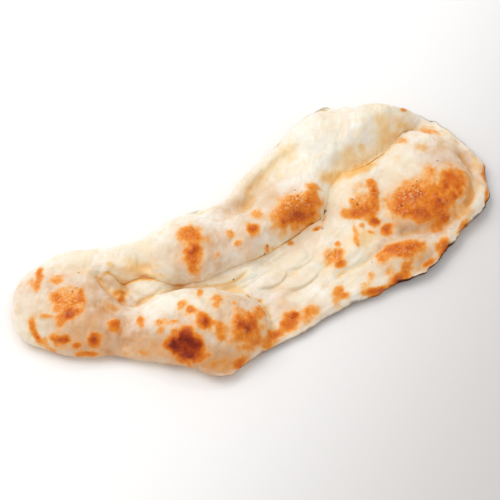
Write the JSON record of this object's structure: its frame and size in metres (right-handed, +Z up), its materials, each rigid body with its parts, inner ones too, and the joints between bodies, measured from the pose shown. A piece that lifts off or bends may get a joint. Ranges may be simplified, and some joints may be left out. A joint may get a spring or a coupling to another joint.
{
  "type": "butter naan",
  "caption": "Long teardrop leavened flatbread with puffed rolls, a folded-over back edge, a raised rim at its broad end and browned blisters.",
  "frame": {"origin": "centre of the bread's footprint box, on the table it rests on", "axes": "+X runs from the narrow knob to the broad end, -Y is the front edge with the lower roll, +Z is up, away from the table"},
  "size_m": [0.4476, 0.2366, 0.047],
  "materials": {
    "baked_dough": "pale baked dough with a thin butter gloss and orange-brown to dark brown blisters"
  },
  "bodies": {
    "root": {"naan": "baked_dough"}
  },
  "joints": []
}
